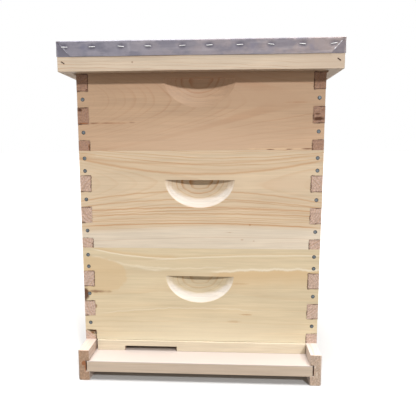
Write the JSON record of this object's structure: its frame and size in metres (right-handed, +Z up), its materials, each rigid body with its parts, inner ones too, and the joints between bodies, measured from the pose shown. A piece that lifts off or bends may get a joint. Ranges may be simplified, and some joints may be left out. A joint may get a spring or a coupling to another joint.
{
  "type": "beehive",
  "caption": "Wooden box beehive: grooved bottom board with landing and entrance stick, stacked finger-jointed boxes of hanging frames, inner cover and metal-clad lid that lift off.",
  "frame": {"origin": "on the ground under the middle of the whole hive, lid overhang and landing included", "axes": "+Z up, entrance and landing face -Y, +X to the right seen from the front"},
  "size_m": [0.4626, 0.5838, 0.5657],
  "materials": {
    "rail_pine": "bare planed pine, slightly weathered, eased edges",
    "floor_pine": "bare planed pale pine",
    "reducer_pine": "bare sawn pale pine",
    "lower_box_pine": "bare planed pine with flat-sawn grain and end-grain fingers",
    "middle_box_pine": "bare planed pine, heartwood above and pale sapwood below",
    "top_box_pine": "bare planed pine, darker heartwood",
    "frame_wood": "bare planed basswood and pine, with a pale yellow wax-coated foundation",
    "rim_pine": "bare planed pale pine",
    "hardboard": "pressed hardboard, smooth upper face",
    "galvanised_sheet": "spangled galvanised sheet with small dents and folded corners",
    "nail_steel": "bright grey-blue flat nail heads",
    "staple_steel": "bright wire staples"
  },
  "bodies": {
    "bottom_board": {"bottom_rail_left": "rail_pine", "bottom_rail_right": "rail_pine", "landing_board": "floor_pine", "floor_boards": "floor_pine", "rear_cleat": "floor_pine", "bottom_nails": "nail_steel"},
    "entrance_reducer": {"entrance_reducer": "reducer_pine"},
    "lower_box": {"lower_box_front": "lower_box_pine", "lower_box_rear": "lower_box_pine", "lower_box_left": "lower_box_pine", "lower_box_right": "lower_box_pine", "lower_box_nails": "nail_steel"},
    "lower_frames": {"lower_frame_01": "frame_wood", "lower_frame_02": "frame_wood", "lower_frame_03": "frame_wood", "lower_frame_04": "frame_wood", "lower_frame_05": "frame_wood", "lower_frame_06": "frame_wood", "lower_frame_07": "frame_wood", "lower_frame_08": "frame_wood", "lower_frame_09": "frame_wood", "lower_frame_10": "frame_wood"},
    "middle_box": {"middle_box_front": "middle_box_pine", "middle_box_rear": "middle_box_pine", "middle_box_left": "middle_box_pine", "middle_box_right": "middle_box_pine", "middle_box_nails": "nail_steel"},
    "middle_frames": {"middle_frame_01": "frame_wood", "middle_frame_02": "frame_wood", "middle_frame_03": "frame_wood", "middle_frame_04": "frame_wood", "middle_frame_05": "frame_wood", "middle_frame_06": "frame_wood", "middle_frame_07": "frame_wood", "middle_frame_08": "frame_wood", "middle_frame_09": "frame_wood", "middle_frame_10": "frame_wood"},
    "top_box": {"top_box_front": "top_box_pine", "top_box_rear": "top_box_pine", "top_box_left": "top_box_pine", "top_box_right": "top_box_pine", "top_box_nails": "nail_steel"},
    "top_frames": {"top_frame_01": "frame_wood", "top_frame_02": "frame_wood", "top_frame_03": "frame_wood", "top_frame_04": "frame_wood", "top_frame_05": "frame_wood", "top_frame_06": "frame_wood", "top_frame_07": "frame_wood", "top_frame_08": "frame_wood", "top_frame_09": "frame_wood", "top_frame_10": "frame_wood"},
    "inner_cover": {"inner_cover": "hardboard"},
    "outer_cover": {"cover_rim_front": "rim_pine", "cover_rim_rear": "rim_pine", "cover_rim_left": "rim_pine", "cover_rim_right": "rim_pine", "cover_deck": "hardboard", "cover_sheet": "galvanised_sheet", "cover_staples": "staple_steel"}
  },
  "joints": [
    {"name": "reducer_pull", "type": "slide", "parent": "bottom_board", "child": "entrance_reducer", "axis": [0, -1, 0], "range_m": [0, 0.08]},
    {"name": "lower_box_lift", "type": "slide", "parent": "bottom_board", "child": "lower_box", "axis": [0, 0, 1], "range_m": [0, 0.2]},
    {"name": "lower_frames_lift", "type": "slide", "parent": "lower_box", "child": "lower_frames", "axis": [0, 0, 1], "range_m": [0, 0.18]},
    {"name": "middle_box_lift", "type": "slide", "parent": "lower_frames", "child": "middle_box", "axis": [0, 0, 1], "range_m": [0, 0.2]},
    {"name": "middle_frames_lift", "type": "slide", "parent": "middle_box", "child": "middle_frames", "axis": [0, 0, 1], "range_m": [0, 0.18]},
    {"name": "top_box_lift", "type": "slide", "parent": "middle_frames", "child": "top_box", "axis": [0, 0, 1], "range_m": [0, 0.2]},
    {"name": "top_frames_lift", "type": "slide", "parent": "top_box", "child": "top_frames", "axis": [0, 0, 1], "range_m": [0, 0.18]},
    {"name": "inner_cover_lift", "type": "slide", "parent": "top_frames", "child": "inner_cover", "axis": [0, 0, 1], "range_m": [0, 0.1]},
    {"name": "outer_cover_lift", "type": "slide", "parent": "inner_cover", "child": "outer_cover", "axis": [0, 0, 1], "range_m": [0, 0.12]}
  ]
}
